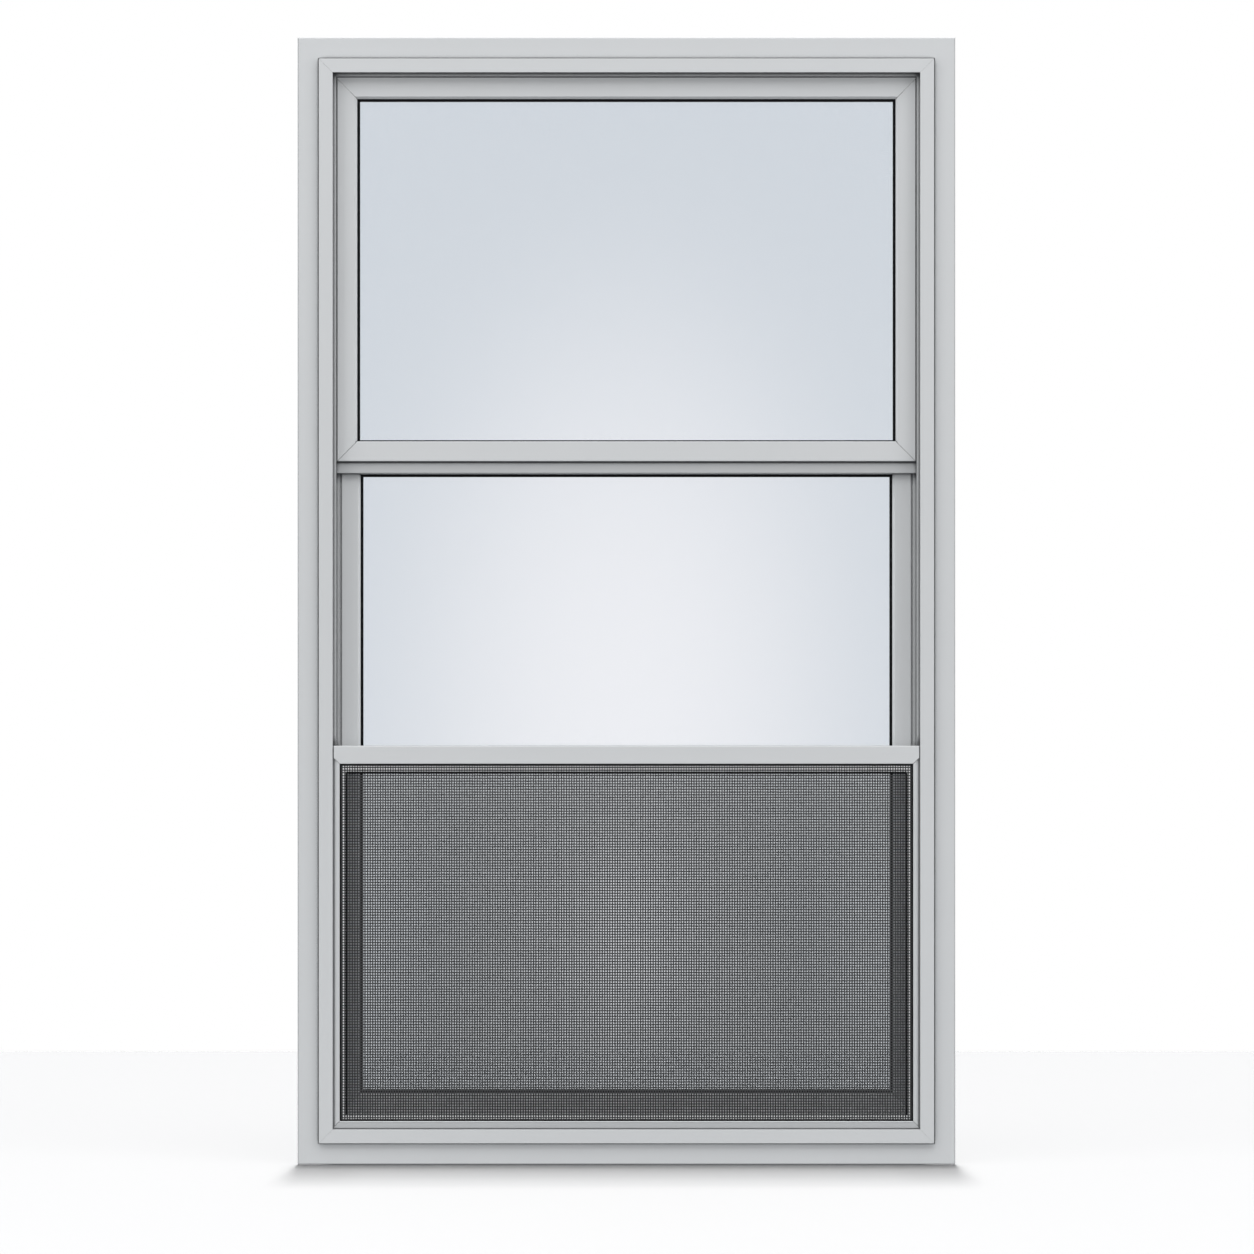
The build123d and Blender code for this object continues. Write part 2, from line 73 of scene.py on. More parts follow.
# %% A socket that can be added and multiplied
class Wire:
    """One output of a shader node. Arithmetic on it adds Math nodes to its tree."""

    def __init__(self, tree, socket=None):
        self.tree = tree
        self.socket = socket

    def node(self, kind, settings=None, sockets=None, out=0):
        """Add a node of any kind: its settings first, then its sockets' values or links."""
        made = self.tree.nodes.new(kind)
        for name, value in (settings or {}).items():
            setattr(made, name, value)
        for name, value in (sockets or {}).items():
            if isinstance(value, Wire):
                self.tree.links.new(value.socket, made.inputs[name])
            else:
                made.inputs[name].default_value = value
        return Wire(self.tree, made.outputs[out] if made.outputs else None)

    def math(self, operation, first, second):
        return self.node("ShaderNodeMath", {"operation": operation}, {0: first, 1: second})

    def __add__(self, other):
        return self.math("ADD", self, other)

    def __radd__(self, other):
        return self.math("ADD", other, self)

    def __sub__(self, other):
        return self.math("SUBTRACT", self, other)

    def __rsub__(self, other):
        return self.math("SUBTRACT", other, self)

    def __mul__(self, other):
        return self.math("MULTIPLY", self, other)

    def __rmul__(self, other):
        return self.math("MULTIPLY", other, self)


def new_finish(name):
    """An empty material, and a Wire that adds nodes to it."""
    material = bpy.data.materials.new(name)
    material.use_nodes = True
    material.node_tree.nodes.clear()
    return material, Wire(material.node_tree)


def show(tree, shader):
    """Connect a shader to the material's output."""
    return tree.node("ShaderNodeOutputMaterial", None, {"Surface": shader})


def blend_colours(tree, factor, first, second):
    """Two colours, or what another blend gave, mixed by a factor that changes over the surface."""
    first, second = (c if isinstance(c, Wire) else (*c, 1.0) for c in (first, second))
    return tree.node(
        "ShaderNodeMix", {"data_type": "RGBA"}, {"Factor": factor, "A": first, "B": second}, out="Result"
    )


def speckle(tree, size, detail=2.0, stretch=(1.0, 1.0, 1.0)):
    """Noise whose blobs are about size metres, longer along an axis where stretch is under 1."""
    place = tree.node("ShaderNodeTexCoord", out="Object")
    turned = tree.node("ShaderNodeMapping", None, {"Vector": place, "Scale": stretch})
    return tree.node("ShaderNodeTexNoise", None, {"Vector": turned, "Scale": 1.0 / size, "Detail": detail})


print("shader helper ready")

# %% [markdown]
# ## Baked grey paint
# The frame is extruded aluminium with a smooth baked coat. Close up, such a coat has a faint orange peel,
# and the die leaves long straight lines under it along each bar. Plain noise gives the peel, and the same
# noise drawn out along the bar gives the lines, so a bar that runs up and one that runs across need a
# finish each. Grooves and inner corners are darkened with painted shade. Painting it by hand would need a
# map, so an Ambient Occlusion node measures how closed in each point is, and the closed places turn dark
# grey.

# %% Paint for bars along X and along Z
PAINT_LIGHT = (0.605, 0.618, 0.628)
PAINT_DARK = (0.575, 0.588, 0.598)
PEEL_SIZE = 1.4 * MM
CLOUD_SIZE = 140 * MM
DIE_LINE_SIZE = 0.9 * MM
ALONG_BAR = 0.004
CLOUD_IN_COLOUR = 0.65
LINES_IN_COLOUR = 0.35
PEEL_IN_HEIGHT = 0.6
LINES_IN_HEIGHT = 0.4
PAINT_BUMP = 0.10
PAINT_RELIEF = 0.12 * MM
PAINT_ROUGH = 0.36
CLOUD_ROUGH = 0.10
PEEL_ROUGH = 0.06
# Painted shade: the dark grey that grooves and inner corners turn to, how far the node looks, and how
# closed in a point must be.
PAINTED_SHADE = (0.115, 0.115, 0.117)
SHADE_REACH = 14 * MM
SHADE_STARTS = 0.80
SHADE_FULL = 0.50
SHADE_RAYS = 8


def axis_of(tree, axis):
    """The place of a point along one axis of the piece."""
    place = tree.node("ShaderNodeTexCoord", out="Object")
    return tree.node("ShaderNodeSeparateXYZ", None, {"Vector": place}, out=axis)


def ramp(tree, value, start, end):
    """A smooth change from 0 at start to 1 at end."""
    return tree.node(
        "ShaderNodeMapRange",
        {"interpolation_type": "SMOOTHSTEP"},
        {"Value": value, "From Min": start, "From Max": end, "To Min": 0.0, "To Max": 1.0},
    )


def painted_shade_share(tree):
    """How much painted shade a point gets: 1 where the surface is closed in on most sides, 0 where it is
    open.
    """
    open_share = tree.node(
        "ShaderNodeAmbientOcclusion", {"samples": SHADE_RAYS}, {"Distance": SHADE_REACH}, out="AO"
    )
    return 1 - ramp(tree, open_share, SHADE_FULL, SHADE_STARTS)


def grey_paint(name, stretch, tone=1.0, shade_strength=1.0, rim_shade=None, lightened=None):
    """The coat on one kind of bar: its tone, how strong the painted shade in its recesses is, painted shade
    on a rim, and painted light where the cloth shades it.
    """
    material, tree = new_finish(name)
    dark, light = (tuple(tone * part for part in colour) for colour in (PAINT_DARK, PAINT_LIGHT))
    peel = speckle(tree, PEEL_SIZE)
    cloud = speckle(tree, CLOUD_SIZE)
    lines = speckle(tree, DIE_LINE_SIZE, 1.0, stretch)
    colour = blend_colours(tree, CLOUD_IN_COLOUR * cloud + LINES_IN_COLOUR * lines, dark, light)
    # Painted shade in grooves and inner corners, stronger or weaker for each kind of bar.
    shade_amount = shade_strength * painted_shade_share(tree)
    # Painted shade on the flange's rim.
    if rim_shade:
        colour = blend_colours(tree, rim_shade(tree), colour, RIM_SHADE)
    # Painted light where the cloth shades the bar, with no painted shade there.
    if lightened:
        under = lightened(tree)
        shade_amount = shade_amount * (1 - under)
        colour = blend_colours(tree, under, colour, PAINTED_LIGHT)
    colour = blend_colours(tree, shade_amount, colour, PAINTED_SHADE)
    height = PEEL_IN_HEIGHT * peel + LINES_IN_HEIGHT * lines
    bump = tree.node(
        "ShaderNodeBump", None, {"Height": height, "Strength": PAINT_BUMP, "Distance": PAINT_RELIEF}
    )
    rough = PAINT_ROUGH + CLOUD_ROUGH * cloud + PEEL_ROUGH * peel
    shader = tree.node(
        "ShaderNodeBsdfPrincipled",
        None,
        {"Base Color": colour, "Roughness": rough, "Normal": bump},
    )
    show(tree, shader)
    return material


print("paint helper ready")

# %% [markdown]
# ## One coat, many shades
# The coat is the same on every bar, but light and shade are painted on some of them. The flange's rim gets
# a band of painted shade at the sides and the foot. The lip of the screen's frame, which lies under the
# cloth, and the outer face of the rail behind the screen are painted paler, as painted light where the
# cloth shades them. The meeting bar is painted darker, as painted shade under the sash above it. The sill
# and the screen get weaker painted shade in their grooves, and the groove under the head gets stronger.

# %% Paints of the bars
# Painted shade along the flange's outer edges, at the sides and the foot.
RIM_SHADE = (0.40, 0.41, 0.415)
# Painted light: a paler grey on the screen's lip and the rail behind it, where the cloth shades them.
PAINTED_LIGHT = (0.84, 0.845, 0.85)
RIM_START = 2.0 * MM
RIM_FULL = 0.4 * MM
# The meeting bar's coat is darker, as painted shade under the sash's rail above it.
BAR_SHADE_TONE = 0.80
SHELTERED_DEEP = 5.0 * MM
# Weaker painted shade in the grooves of the sill and screen, and stronger in the groove under the head.
LIGHT_SHADE = 0.4
HEAVY_SHADE = 1.35
LIP_WIDTH = 5.4 * MM
ACROSS = (ALONG_BAR, 1.0, 1.0)
UPRIGHT = (1.0, 1.0, ALONG_BAR)
lip_side = abs(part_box("screen_left_stile")[1][0])
lip_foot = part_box("screen_bottom_rail")[1][2]
lip_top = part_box("screen_top_rail")[0][2]
sheltered_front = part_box("lower_sash_bottom_rail")[0][1]


def side_rim_shade(tree):
    """The outer edge of the flange, left and right, darkened with painted shade."""
    out = tree.math("ABSOLUTE", axis_of(tree, "X"), 0.0)
    return ramp(tree, out, cad_high[0] - RIM_START, cad_high[0] - RIM_FULL)


def foot_rim_shade(tree):
    """The lower edge of the sill's flange, darkened with painted shade."""
    return 1 - ramp(tree, axis_of(tree, "Z"), cad_low[2] + RIM_FULL, cad_low[2] + RIM_START)


def under_cloth(tree):
    """The lips of the screen's four bars, which lie inside the groove of the spline and are painted paler
    as painted light.
    """
    out = tree.math("ABSOLUTE", axis_of(tree, "X"), 0.0)
    up = tree.math("ABSOLUTE", axis_of(tree, "Z") - (lip_foot + lip_top) / 2, 0.0)
    inside_sides = tree.math("LESS_THAN", out, lip_side + LIP_WIDTH)
    inside_ends = tree.math("LESS_THAN", up, (lip_top - lip_foot) / 2 + LIP_WIDTH)
    return inside_sides * inside_ends


def behind_screen(tree):
    """The outer face of the lower sash's bottom rail, painted paler as painted light."""
    return tree.math("LESS_THAN", axis_of(tree, "Y"), sheltered_front + SHELTERED_DEEP)


paint_across = grey_paint("grey_paint_across", ACROSS)
paint_upright = grey_paint("grey_paint_upright", UPRIGHT)
paint_jamb = grey_paint("grey_paint_jamb", UPRIGHT, rim_shade=side_rim_shade)
paint_sill = grey_paint("grey_paint_sill", ACROSS, shade_strength=LIGHT_SHADE, rim_shade=foot_rim_shade)
paint_bar_shaded = grey_paint("grey_paint_bar", ACROSS, BAR_SHADE_TONE)
# The rail behind the screen is painted paler, as painted light.
paint_sheltered_lit = grey_paint("grey_paint_sheltered", ACROSS, lightened=behind_screen)
paint_head = grey_paint("grey_paint_head", ACROSS, shade_strength=HEAVY_SHADE)
screen_across = grey_paint("screen_paint_across", ACROSS, shade_strength=LIGHT_SHADE, lightened=under_cloth)
screen_upright = grey_paint("screen_paint_upright", UPRIGHT, shade_strength=LIGHT_SHADE, lightened=under_cloth)
print("lip half width", round(lip_side, 4), "from", round(lip_foot, 4), "to", round(lip_top, 4))

# %% [markdown]
# ## Black vinyl
# The glazing gasket and the screen's spline are soft black vinyl. It is never quite black: it has a dull
# sheen, with chalky patches where it was handled.

# %% Vinyl
VINYL_DARK = (0.002, 0.002, 0.0022)
VINYL_CHALK = (0.007, 0.007, 0.0075)
VINYL_SHEEN = 0.08
VINYL_GRAIN = 0.7 * MM
CHALK_SIZE = 30 * MM
CHALK_IN_COLOUR = 0.7
GRAIN_IN_COLOUR = 0.3
VINYL_BUMP = 0.2
VINYL_RELIEF = 0.1 * MM
VINYL_ROUGH = 0.48
CHALK_ROUGH = 0.16


def black_vinyl():
    material, tree = new_finish("black_vinyl")
    chalk = speckle(tree, CHALK_SIZE)
    grain = speckle(tree, VINYL_GRAIN)
    shade = CHALK_IN_COLOUR * chalk + GRAIN_IN_COLOUR * grain
    colour = blend_colours(tree, shade, VINYL_DARK, VINYL_CHALK)
    bump = tree.node(
        "ShaderNodeBump", None, {"Height": grain, "Strength": VINYL_BUMP, "Distance": VINYL_RELIEF}
    )
    shader = tree.node(
        "ShaderNodeBsdfPrincipled",
        None,
        {
            "Base Color": colour,
            "Roughness": VINYL_ROUGH + CHALK_ROUGH * chalk,
            "Specular IOR Level": VINYL_SHEEN,
            "Normal": bump,
        },
    )
    show(tree, shader)
    return material


vinyl = black_vinyl()
print("vinyl", vinyl.name)

# %% [markdown]
# ## Window glass
# A thin flat pane hardly bends light, so a refracting shader would only add noise and a dark shadow.
# Instead, part of the light goes straight through with a cool tint, and a share is mirrored. Storm panes
# often have a hard clear coat that keeps heat in, and it mirrors more than bare glass: about a quarter of
# the light at each face, and most of it at a glancing angle, which a Fresnel node gives. From inside the
# pane that node would mirror everything at a slant, because no ray is bent here, so there its index is
# turned over.

# %% Glass
GLASS_TINT = (0.900, 0.915, 0.930, 1.0)
COATED_INDEX = 3.0
GLASS_POLISH = 0.10


def pane_glass():
    material, tree = new_finish("pane_glass")
    through = tree.node("ShaderNodeBsdfTransparent", None, {"Color": GLASS_TINT})
    mirror = tree.node("ShaderNodeBsdfGlossy", None, {"Color": (1, 1, 1, 1), "Roughness": GLASS_POLISH})
    inner_face = tree.node("ShaderNodeNewGeometry", out="Backfacing")
    index = COATED_INDEX + (1 / COATED_INDEX - COATED_INDEX) * inner_face
    share = tree.node("ShaderNodeFresnel", None, {"IOR": index})
    show(tree, tree.node("ShaderNodeMixShader", None, {"Fac": share, 1: through, 2: mirror}))
    return material


glass = pane_glass()
print("glass", glass.name)

# %% [markdown]
# ## Latch plastic, wool pile and plated steel
# The slide latches are moulded in grey plastic with a fine spark-eroded grain. The pile is short grey
# wool. The few screws are zinc-plated steel, a little brighter and sharper in its gloss than the paint.

# %% Small finishes
LATCH_DARK = (0.36, 0.37, 0.38)
LATCH_LIGHT = (0.43, 0.44, 0.45)
WOOL_DARK = (0.10, 0.10, 0.105)
WOOL_LIGHT = (0.24, 0.24, 0.25)
ZINC_DARK = (0.55, 0.56, 0.58)
ZINC_LIGHT = (0.70, 0.71, 0.72)
GRAIN_BUMP = 0.4


def mottled(name, dark, light, size, rough, rough_change, metallic, bump_height):
    """A plain finish that varies between two colours, with roughness and bump from the same grain."""
    material, tree = new_finish(name)
    grain = speckle(tree, size)
    bump = tree.node(
        "ShaderNodeBump", None, {"Height": grain, "Strength": GRAIN_BUMP, "Distance": bump_height}
    )
    shader = tree.node(
        "ShaderNodeBsdfPrincipled",
        None,
        {
            "Base Color": blend_colours(tree, grain, dark, light),
            "Roughness": rough + rough_change * grain,
            "Metallic": metallic,
            "Normal": bump,
        },
    )
    show(tree, shader)
    return material


latch_plastic = mottled(
    "latch_plastic", LATCH_DARK, LATCH_LIGHT,
    size=0.5 * MM, rough=0.45, rough_change=0.15, metallic=0.0, bump_height=0.06 * MM,
)
wool = mottled(
    "wool_pile", WOOL_DARK, WOOL_LIGHT,
    size=0.6 * MM, rough=0.90, rough_change=0.10, metallic=0.0, bump_height=0.20 * MM,
)
zinc = mottled(
    "zinc_plate", ZINC_DARK, ZINC_LIGHT,
    size=0.9 * MM, rough=0.30, rough_change=0.12, metallic=1.0, bump_height=0.03 * MM,
)
print("finishes", latch_plastic.name, wool.name, zinc.name)

# %% [markdown]
# ## Finishes on the solids
# Rails, head, sill and bar run across, jambs and stiles run up. The node's name says which it is, and a
# few pieces have a paint of their own. The cloth and the pile are dressed later, when they get their own
# pieces.

# %% Dress the solids
OWN_PAINT = {
    "head": paint_head,
    "left_jamb": paint_jamb,
    "right_jamb": paint_jamb,
    "sill": paint_sill,
    "meeting_bar": paint_bar_shaded,
    "lower_sash_bottom_rail": paint_sheltered_lit,
    "screen_top_rail": screen_across,
    "screen_bottom_rail": screen_across,
    "screen_left_stile": screen_upright,
    "screen_right_stile": screen_upright,
}
SOFT_WORDS = ("pile", "mesh")


def wear(piece, material):
    """Give a piece one finish in place of what it had."""
    piece.data.materials.clear()
    piece.data.materials.append(material)


for name, node in nodes.items():
    if name in OWN_PAINT:
        wear(node, OWN_PAINT[name])
    elif name.endswith("glass"):
        wear(node, glass)
    elif "gasket" in name or "spline" in name:
        wear(node, vinyl)
    elif "latch" in name:
        wear(node, latch_plastic)
    elif any(word in name for word in SOFT_WORDS):
        wear(node, wool)
    else:
        wear(node, paint_upright if "stile" in name else paint_across)
print("dressed", len(nodes))

# %% [markdown]
# ## Yarn
# The cloth is woven from glass yarn with a dark coat. The coat is dull, and a fine noise makes it a
# little lighter and rougher from place to place.

# %% Yarn finish
YARN_DARK = (0.022, 0.0220, 0.0218)
YARN_LIGHT = (0.040, 0.0400, 0.0396)
YARN_GRAIN = 1.1 * MM
YARN_ROUGH = 0.55
GRAIN_ROUGH = 0.2


def dark_yarn():
    material, tree = new_finish("dark_yarn")
    coat = speckle(tree, YARN_GRAIN)
    colour = blend_colours(tree, coat, YARN_DARK, YARN_LIGHT)
    rough = YARN_ROUGH + GRAIN_ROUGH * coat
    shader = tree.node("ShaderNodeBsdfPrincipled", None, {"Base Color": colour, "Roughness": rough})
    show(tree, shader)
    return material


yarn_finish = dark_yarn()
print("yarn", yarn_finish.name)

# %% [markdown]
# ## Screen cloth
# The cloth is stretched flat, so each yarn is a straight flattened bar: one is modelled, an Array makes
# the rest, and the two directions lie one behind the other. The upright yarns widen a little towards the
# sill, so the cloth is darker at the bottom. Each yarn is then moved a little, because a real weave is
# never perfectly even.

# %% Weave the cloth
YARN_PITCH_ACROSS = 3.15 * MM
YARN_PITCH_UP = 3.38 * MM
YARN_WIDTH = 1.51 * MM
YARN_THICKNESS = 0.26 * MM
YARN_SIDES = 8
YARN_WANDER = 0.02
SWELL_TOP = 0.97
SWELL_FOOT = 1.19
TUCK = 1.1 * MM
LAYER_SHARE = 0.4
WARP_SEED = 11
WEFT_SEED = 12


def deselect():
    """Object mode with nothing selected, so the next operator acts on new work only."""
    if bpy.context.mode != "OBJECT":
        bpy.ops.object.mode_set(mode="OBJECT")
    bpy.ops.object.select_all(action="DESELECT")


def repeat(piece, step, count):
    """Repeat a piece along a step by an applied Array."""
    row = piece.modifiers.new("row", "ARRAY")
    row.use_relative_offset = False
    row.use_constant_offset = True
    row.constant_offset_displace = step
    row.count = count
    bpy.context.view_layer.objects.active = piece
    bpy.ops.object.modifier_apply(modifier=row.name)


def join(pieces, name):
    """Join pieces into the first one, with its place in its mesh."""
    deselect()
    for piece in pieces:
        piece.select_set(True)
    bpy.context.view_layer.objects.active = pieces[0]
    bpy.ops.object.join()
    whole = bpy.context.object
    whole.name = name
    bpy.ops.object.transform_apply(location=True, rotation=True, scale=True)
    return whole


def points(piece, copies):
    """The vertices of a piece as an array, in one block for each of its like copies."""
    place = np.empty(len(piece.data.vertices) * 3)
    piece.data.vertices.foreach_get("co", place)
    return place.reshape(copies, -1, 3)


def set_points(piece, place):
    """Put the vertices of a piece where the array says."""
    piece.data.vertices.foreach_set("co", place.ravel())
    piece.data.update()


def yarns(name, centre, length, turn, step, count):
    """A row of like yarns: one flattened bar, repeated by an Array that starts at half the row."""
    deselect()
    first = [centre[axis] - step[axis] * (count - 1) / 2 for axis in range(3)]
    bpy.ops.mesh.primitive_cylinder_add(
        vertices=YARN_SIDES, radius=YARN_WIDTH / 2, depth=length, location=first, rotation=(0, turn, 0)
    )
    yarn = bpy.context.object
    yarn.name = name
    bpy.ops.object.transform_apply(location=False, rotation=True, scale=True)
    bpy.ops.object.mode_set(mode="EDIT")
    bpy.ops.mesh.select_all(action="SELECT")
    bpy.ops.transform.resize(value=(1, YARN_THICKNESS / YARN_WIDTH, 1))
    bpy.ops.object.mode_set(mode="OBJECT")
    repeat(yarn, step, count)
    bpy.ops.object.transform_apply(location=True, rotation=True, scale=True)
    return yarn


def wander(yarn, axis, pitch, count, seed):
    """Move each yarn sideways by a small share of the pitch."""
    place = points(yarn, count)
    shift = np.random.default_rng(seed).normal(0.0, YARN_WANDER * pitch, count)
    place[:, :, axis] += shift[:, None]
    set_points(yarn, place)


def swell(yarn, middle, count):
    """Widen the upright yarns towards the sill, so the cloth is darker at the bottom."""
    place = points(yarn, count)
    centre = place[:, :, 0].mean(axis=1, keepdims=True)
    growth = np.where(place[:, :, 2] > middle[2], SWELL_TOP, SWELL_FOOT)
    place[:, :, 0] = centre + (place[:, :, 0] - centre) * growth
    set_points(yarn, place)


cloth_low, cloth_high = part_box("screen_mesh")
cloth_width = cloth_high[0] - cloth_low[0] + 2 * TUCK
cloth_height = cloth_high[2] - cloth_low[2] + 2 * TUCK
middle = [(low + high) / 2 for low, high in zip(cloth_low, cloth_high)]
warp_count = int(cloth_width / YARN_PITCH_ACROSS)
weft_count = int(cloth_height / YARN_PITCH_UP)
layer = YARN_THICKNESS * LAYER_SHARE
warp_middle = (middle[0], middle[1] - layer, middle[2])
weft_middle = (middle[0], middle[1] + layer, middle[2])
warp = yarns("warp", warp_middle, cloth_height, 0.0, (YARN_PITCH_ACROSS, 0, 0), warp_count)
weft = yarns("weft", weft_middle, cloth_width, math.pi / 2, (0, 0, YARN_PITCH_UP), weft_count)
swell(warp, middle, warp_count)
wander(warp, 0, YARN_PITCH_ACROSS, warp_count, WARP_SEED)
wander(weft, 2, YARN_PITCH_UP, weft_count, WEFT_SEED)
cloth = join([warp, weft], "screen_cloth")
wear(cloth, yarn_finish)
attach(cloth, "root")
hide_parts("screen_mesh")
print("yarns", warp_count, "up and", weft_count, "across, faces", len(cloth.data.polygons))

# %% [markdown]
# ## Shade cord
# A thin cord of black vinyl lies on the inner edge of the screen's lip, up the sides and along the top. It
# is
# painted shade: a dark cord put where the lip's edge throws its shadow. It is a cylinder for each side,
# drawn in to a soft oval, with its ends bevelled and run past each other at the corners. Along the top it
# hangs lower, under the hem that the next step makes.

# %% Bead on the lip
BEAD_RADIUS = 0.9 * MM
TOP_BEAD_RADIUS = 1.3 * MM
BEAD_OUT = 0.3 * MM
BEAD_OVAL = 0.92
BEAD_SIDES = 12
BEAD_END_ROUND = 0.5
BEVEL_STEPS = 3
BEAD_SMOOTH = math.radians(40)
HEM_WIDTH = 1.7 * MM


def bead(middle, length, turn, radius):
    """One straight bead with rounded ends."""
    deselect()
    bpy.ops.mesh.primitive_cylinder_add(
        vertices=BEAD_SIDES, radius=radius, depth=length, location=middle, rotation=(0, turn, 0)
    )
    cord = bpy.context.object
    bpy.ops.object.transform_apply(location=True, rotation=True, scale=True)
    bpy.ops.object.mode_set(mode="EDIT")
    bpy.ops.mesh.select_all(action="DESELECT")
    bpy.ops.object.mode_set(mode="OBJECT")
    along = 0 if turn else 2
    for edge in cord.data.edges:
        first, second = (cord.data.vertices[point].co[along] for point in edge.vertices)
        edge.select = abs(first - second) < length / 2
    bpy.ops.object.mode_set(mode="EDIT")
    bpy.ops.mesh.select_mode(type="EDGE")
    bpy.ops.mesh.bevel(offset=radius * BEAD_END_ROUND, segments=BEVEL_STEPS, affect="EDGES")
    bpy.ops.mesh.select_all(action="SELECT")
    bpy.ops.transform.resize(value=(1, BEAD_OVAL, 1), center_override=middle)
    bpy.ops.object.mode_set(mode="OBJECT")
    return cord


bead_side = lip_side - BEAD_OUT
bead_top = lip_top - HEM_WIDTH - TOP_BEAD_RADIUS
bead_depth = cloth_low[1]
bead_tall = bead_top - lip_foot
# A black cord as painted shade at the lip's inner edge.
shade_cords = join(
    [
        bead((-bead_side, bead_depth, lip_foot + bead_tall / 2), bead_tall, 0.0, BEAD_RADIUS),
        bead((bead_side, bead_depth, lip_foot + bead_tall / 2), bead_tall, 0.0, BEAD_RADIUS),
        bead((0.0, bead_depth, bead_top), 2 * bead_side, math.pi / 2, TOP_BEAD_RADIUS),
    ],
    "lip_shade_cord",
)
deselect()
shade_cords.select_set(True)
bpy.ops.object.shade_smooth_by_angle(angle=BEAD_SMOOTH)
wear(shade_cords, vinyl)
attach(shade_cords, "root")
print("bead faces", len(shade_cords.data.polygons))

# %% [markdown]
# ## Hem of the top lip
# The lip along the top of the screen is folded into a hem, a thin strip of the same metal. A cube is
# scaled to the strip, and a Bevel on all of its edges gives the soft edge of folded metal.

# %% Hem of the top lip
HEM_THICKNESS = 1.2 * MM
HEM_OVERLAP = 1.8 * MM
HEM_ROUND = 0.3

deselect()
hem_tall = HEM_WIDTH + HEM_OVERLAP
hem_middle = (0.0, cloth_high[1] + HEM_THICKNESS / 2, lip_top - HEM_WIDTH + hem_tall / 2)
bpy.ops.mesh.primitive_cube_add(size=1.0, location=hem_middle)
hem = bpy.context.object
hem.name = "top_lip_hem"
hem.scale = (2 * lip_side, HEM_THICKNESS, hem_tall)
bpy.ops.object.transform_apply(location=True, rotation=True, scale=True)
bpy.ops.object.mode_set(mode="EDIT")
bpy.ops.mesh.select_all(action="SELECT")
bpy.ops.mesh.bevel(offset=HEM_THICKNESS * HEM_ROUND, segments=BEVEL_STEPS, affect="EDGES")
bpy.ops.object.mode_set(mode="OBJECT")
wear(hem, screen_across)
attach(hem, "root")
print("hem faces", len(hem.data.polygons))

# %% [markdown]
# ## Gasket fins
# The gasket ends in a thin soft fin that lies on the glass and keeps water out. It is a flat frame: a
# plane a little larger than the gasket's opening is inset, its middle is deleted, and a Solidify gives
# the fin its thickness.

# %% Fins on the glass
FIN_WIDTH = 0.65 * MM
FIN_UNDER = 0.5 * MM
FIN_THICKNESS = 0.35 * MM


def inner_edges(ring, axis, centre):
    """Where a ring's opening starts and ends along one axis."""
    place = np.array([vertex.co[axis] for vertex in ring.data.vertices])
    return place[place < centre].max(), place[place > centre].min()


def gasket_fin(gasket, pane):
    """A flat frame round one opening, on the outer face of the glass."""
    low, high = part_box(gasket)
    left, right = inner_edges(nodes[gasket], 0, (low[0] + high[0]) / 2)
    foot, top = inner_edges(nodes[gasket], 2, (low[2] + high[2]) / 2)
    place = ((left + right) / 2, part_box(pane)[0][1], (foot + top) / 2)
    deselect()
    bpy.ops.mesh.primitive_plane_add(size=1.0, location=place, rotation=(math.pi / 2, 0, 0))
    fin = bpy.context.object
    fin.scale = (right - left + 2 * FIN_UNDER, top - foot + 2 * FIN_UNDER, 1.0)
    bpy.ops.object.transform_apply(location=True, rotation=True, scale=True)
    bpy.ops.object.mode_set(mode="EDIT")
    bpy.ops.mesh.select_all(action="SELECT")
    bpy.ops.mesh.inset(thickness=FIN_WIDTH + FIN_UNDER)
    bpy.ops.mesh.delete(type="ONLY_FACE")
    bpy.ops.object.mode_set(mode="OBJECT")
    body = fin.modifiers.new("body", "SOLIDIFY")
    body.thickness = FIN_THICKNESS
    body.offset = 1.0
    bpy.ops.object.modifier_apply(modifier=body.name)
    print(gasket, "opening", round(right - left, 4), round(top - foot, 4))
    return fin


fins = join(
    [
        gasket_fin("upper_sash_gasket", "upper_sash_glass"),
        gasket_fin("lower_sash_gasket", "lower_sash_glass"),
    ],
    "gasket_fins",
)
wear(fins, vinyl)
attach(fins, "root")
print("fin faces", len(fins.data.polygons))

# %% [markdown]
# ## Wool pile
# A strip of wool pile in each glass track stops rattles and draughts. It is a thin backing with rows of
# short tufts. Fur would give every hair, but the tufts are under a millimetre, so one small four-sided
# spike is modelled and two Arrays repeat it over the strip. Each spike's tip is then pushed a little to
# one side.

# %% Pile strips
BACKING = 0.25 * MM
TUFT_STEP = 1.4 * MM
TUFT_FOOT = 0.8 * MM
TUFT_TIP = 0.3 * MM
TUFT_LEAN = 0.22 * MM
TUFT_SIDES = 4
TRACK_PILE_WIDTH = 4.0 * MM
PILE_SEED = 21


